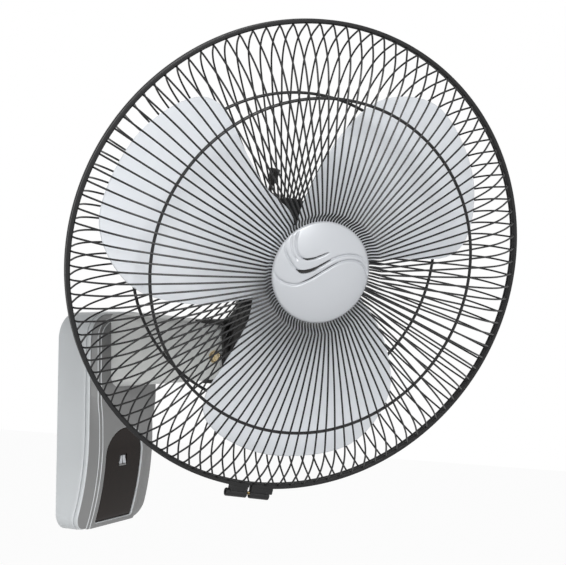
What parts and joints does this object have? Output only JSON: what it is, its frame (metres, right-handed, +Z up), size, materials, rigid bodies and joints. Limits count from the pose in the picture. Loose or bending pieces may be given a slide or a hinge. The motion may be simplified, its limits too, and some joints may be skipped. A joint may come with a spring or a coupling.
{
  "type": "wall mounted fan",
  "caption": "Wall mounted oscillating fan: bent silver housing, tilting arm pivot, swinging motor head, black wire guards closed by a band, and silver blades",
  "frame": {"origin": "middle of the four wall screws, on the wall", "axes": "+Y goes into the wall, so the fan reaches out towards -Y; +Z is up; +X is to the right of someone who faces the wall"},
  "size_m": [0.4014, 0.5152, 0.5659],
  "materials": {
    "silver_plastic": "satin",
    "dark_panel": "gloss",
    "window": "gloss",
    "dark_plastic": "matte",
    "black_rubber": "matte",
    "board": "matte",
    "zinc": "satin",
    "steel": "satin",
    "brass": "satin",
    "copper": "gloss",
    "dark_metal": "satin",
    "black_wire": "satin",
    "badge_silver": "gloss",
    "blade_silver": "satin"
  },
  "bodies": {
    "base": {"wall_plate": "zinc", "inlet_grommet": "black_rubber", "housing_shell": "silver_plastic", "front_cover": "silver_plastic", "panel_insert": "dark_panel", "indicator_window": "window", "control_board": "board", "board_screws": "zinc", "terminal_block": "dark_plastic", "run_capacitor": "dark_plastic", "remote_receiver": "dark_plastic", "arm": "silver_plastic", "arm_bolts": "zinc", "fork_liner": "dark_plastic", "cup_washer": "silver_plastic", "tilt_screw": "brass", "tilt_nut": "zinc"},
    "neck": {"neck_casting": "dark_metal", "swivel_spindle": "steel", "thrust_washer": "dark_plastic"},
    "head": {"motor_front_cover": "dark_metal", "motor_rear_cover": "dark_metal", "stator_core": "steel", "stator_windings": "copper", "gearbox_case": "dark_plastic", "gearbox_lid": "dark_plastic", "front_guard": "black_wire", "rear_guard": "black_wire", "guard_lock_ring": "dark_plastic", "guard_band": "black_wire", "band_screw": "brass", "band_nut": "zinc", "badge": "badge_silver", "badge_plate": "dark_plastic"},
    "rotor": {"rotor_core": "steel", "motor_shaft": "steel", "worm": "steel", "drive_pin": "steel", "blade": "blade_silver", "blade_cap": "dark_plastic"},
    "knob": {"clutch_knob": "dark_plastic"}
  },
  "joints": [
    {"name": "tilt", "type": "hinge", "parent": "base", "child": "neck", "pos_m": [0, -0.2003, 0.0815], "axis": [1, 0, 0], "range_deg": [-16.5, 13.5]},
    {"name": "swing", "type": "hinge", "parent": "neck", "child": "head", "pos_m": [0, -0.21468, 0.07724], "axis": [0, -0.284, 0.9588], "range_deg": [-3, 81]},
    {"name": "rotor", "type": "hinge", "parent": "head", "child": "rotor", "pos_m": [0, -0.25515, 0.21387], "axis": [-0.6293, -0.7451, -0.2207], "continuous": true},
    {"name": "knob", "type": "slide", "parent": "head", "child": "knob", "axis": [0, -0.284, 0.9588], "range_m": [0, 0.005]}
  ]
}
